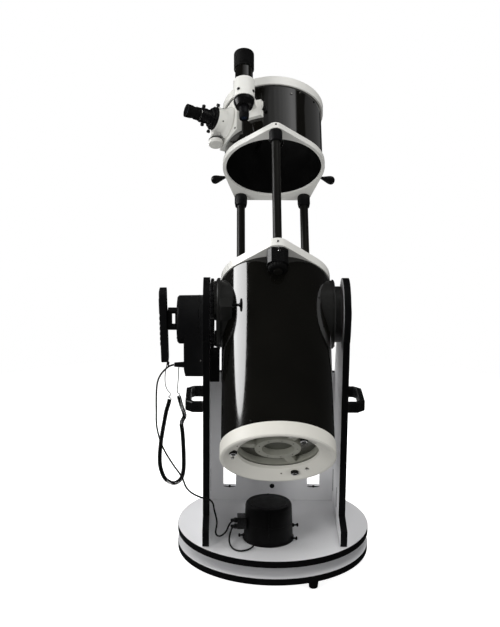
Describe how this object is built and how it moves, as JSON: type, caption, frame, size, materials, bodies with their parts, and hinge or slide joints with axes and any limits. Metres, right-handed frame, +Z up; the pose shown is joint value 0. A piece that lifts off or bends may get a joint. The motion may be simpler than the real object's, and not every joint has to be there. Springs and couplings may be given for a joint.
{
  "type": "dobsonian telescope",
  "caption": "Collapsible strut-tube reflector telescope on a turning rocker base, with motor drives, finder telescope, focuser and a wired handset.",
  "frame": {"origin": "on the floor under the middle of the bounding box, cords left out", "axes": "+Z up, +Y the way the tube points when raised, -Y the open side of the rocker box, -X the side with the altitude motor and handset"},
  "size_m": [0.5861, 0.9906, 1.3836],
  "materials": {
    "laminate": "white melamine laminate with black edge banding, satin",
    "white_metal": "warm white powder coat, satin",
    "black_gloss_metal": "black gloss enamel",
    "black_plastic": "fine-textured black moulded plastic",
    "black_rubber": "black rubber, matt",
    "black_anodised": "black anodised, satin",
    "white_knob": "white coated, fine ribs",
    "bright_steel": "bright plated steel",
    "mirror_glass": "aluminised mirror, green-grey glass edge"
  },
  "bodies": {
    "base": {"ground_board": "laminate", "foot_near": "black_rubber", "foot_right": "black_rubber", "foot_left": "black_rubber", "azimuth_gear_ring": "black_plastic", "azimuth_pivot_bolt": "bright_steel"},
    "rocker": {"rocker_board": "laminate", "side_panel_left": "laminate", "side_panel_right": "laminate", "front_panel": "laminate", "azimuth_drive_housing": "black_plastic", "altitude_drive_housing": "black_plastic", "altitude_gear_housing": "black_plastic", "carry_handle_left": "black_plastic", "carry_handle_right": "black_plastic", "handset_hanger": "black_plastic", "drive_cable": "black_rubber", "azimuth_cable_loop": "black_rubber", "handset_cord_top": "black_rubber", "handset_cord_curly": "black_rubber", "handset_cord_bottom": "black_rubber"},
    "handset": {"handset_shell": "black_plastic"},
    "keypad": {"handset_keypad": "black_rubber"},
    "tube": {"lower_tube": "black_gloss_metal", "rear_cell_ring": "white_metal", "mirror_cell_casting": "white_metal", "primary_mirror": "mirror_glass", "tube_top_ring": "white_metal", "altitude_hub_left": "black_plastic", "altitude_hub_right": "black_plastic", "altitude_setting_wheel": "black_plastic", "strut_clamp_front": "black_plastic", "strut_clamp_left": "black_plastic", "strut_clamp_right": "black_plastic"},
    "tension_knob": {"altitude_tension_knob": "black_plastic"},
    "collar_front": {"strut_lock_collar_front": "black_rubber"},
    "collar_left": {"strut_lock_collar_left": "black_rubber"},
    "collar_right": {"strut_lock_collar_right": "black_rubber"},
    "collimator_1": {"collimation_knob_1": "bright_steel"},
    "collimator_2": {"collimation_knob_2": "bright_steel"},
    "collimator_3": {"collimation_knob_3": "bright_steel"},
    "cage": {"strut_front": "black_gloss_metal", "strut_left": "black_gloss_metal", "strut_right": "black_gloss_metal", "cage_lower_ring": "white_metal", "cage_tube": "black_gloss_metal", "cage_top_ring": "white_metal", "secondary_mirror": "mirror_glass", "secondary_spider": "black_plastic", "focuser_base": "white_metal", "finder_bracket": "white_metal"},
    "pear_left": {"pear_knob_left": "black_plastic"},
    "pear_right": {"pear_knob_right": "black_plastic"},
    "drawtube": {"focuser_drawtube": "black_anodised", "eyepiece_adapter": "black_anodised"},
    "eyepiece_body": {"eyepiece": "black_rubber"},
    "focus_shaft": {"focus_knobs": "white_knob"},
    "finder": {"finder_tube": "black_gloss_metal"},
    "finder_ocular": {"finder_eyepiece": "black_rubber"}
  },
  "joints": [
    {"name": "azimuth_turn", "type": "hinge", "parent": "base", "child": "rocker", "pos_m": [0.023, -0.079, 0.09], "axis": [0, 0, 1], "continuous": true},
    {"name": "altitude_tilt", "type": "hinge", "parent": "rocker", "child": "tube", "pos_m": [0.023, -0.0937, 0.705], "axis": [1, 0, 0], "range_deg": [-50, 44]},
    {"name": "handset_lift", "type": "slide", "parent": "rocker", "child": "handset", "axis": [0, 0, 1], "range_m": [0, 0.012]},
    {"name": "keypad_press", "type": "slide", "parent": "handset", "child": "keypad", "axis": [0.9997, 0, 0.0262], "range_m": [0, 0.001], "stiffness_N_per_m": 800, "springref_m": -0.0002},
    {"name": "cage_slide", "type": "slide", "parent": "tube", "child": "cage", "axis": [0, 0.7002, 0.714], "range_m": [-0.325, 0]},
    {"name": "tension_turn", "type": "hinge", "parent": "tube", "child": "tension_knob", "pos_m": [-0.087, -0.22013, 0.76175], "axis": [1, 0, 0], "range_deg": [-180, 180]},
    {"name": "collar_front_turn", "type": "hinge", "parent": "tube", "child": "collar_front", "pos_m": [0.023, -0.18357, 0.85616], "axis": [0, 0.7002, 0.714], "range_deg": [-45, 45]},
    {"name": "collar_left_turn", "type": "hinge", "parent": "tube", "child": "collar_left", "pos_m": [-0.06959, 0.0396, 0.6373], "axis": [0, 0.7002, 0.714], "range_deg": [-45, 45]},
    {"name": "collar_right_turn", "type": "hinge", "parent": "tube", "child": "collar_right", "pos_m": [0.11559, 0.0396, 0.6373], "axis": [0, 0.7002, 0.714], "range_deg": [-45, 45]},
    {"name": "collimation_1_turn", "type": "hinge", "parent": "tube", "child": "collimator_1", "pos_m": [-0.09025, -0.39853, 0.42268], "axis": [0, 0.7002, 0.714], "range_deg": [-180, 180]},
    {"name": "collimation_2_turn", "type": "hinge", "parent": "tube", "child": "collimator_2", "pos_m": [0.06977, -0.30926, 0.33514], "axis": [0, 0.7002, 0.714], "range_deg": [-180, 180]},
    {"name": "collimation_3_turn", "type": "hinge", "parent": "tube", "child": "collimator_3", "pos_m": [0.08394, -0.4539, 0.47698], "axis": [0, 0.7002, 0.714], "range_deg": [-180, 180]},
    {"name": "pear_left_turn", "type": "hinge", "parent": "cage", "child": "pear_left", "pos_m": [-0.12428, 0.29332, 1.01037], "axis": [-0.9205, 0.279, -0.2736], "range_deg": [-180, 180]},
    {"name": "pear_right_turn", "type": "hinge", "parent": "cage", "child": "pear_right", "pos_m": [0.17028, 0.29332, 1.01037], "axis": [0.9205, 0.279, -0.2736], "range_deg": [-180, 180]},
    {"name": "focus_slide", "type": "slide", "parent": "cage", "child": "drawtube", "axis": [-0.9056, -0.3029, 0.297], "range_m": [0, 0.038]},
    {"name": "focus_turn", "type": "hinge", "parent": "cage", "child": "focus_shaft", "pos_m": [-0.14344, 0.29607, 1.15389], "axis": [0, 0.7002, 0.714], "range_deg": [0, 684]},
    {"name": "eyepiece_pull", "type": "slide", "parent": "drawtube", "child": "eyepiece_body", "axis": [-0.9056, -0.3029, 0.297], "range_m": [0, 0.03]},
    {"name": "finder_aim", "type": "hinge", "parent": "cage", "child": "finder", "pos_m": [-0.064, 0.2052, 1.26974], "axis": [1, 0, 0], "range_deg": [-1.5, 1.5]},
    {"name": "finder_focus", "type": "slide", "parent": "finder", "child": "finder_ocular", "axis": [0, 0.7002, 0.714], "range_m": [-0.004, 0.004]}
  ],
  "couplings": [
    {"joint": "focus_turn", "follows": "focus_slide", "rad_per_m": 314.16}
  ]
}
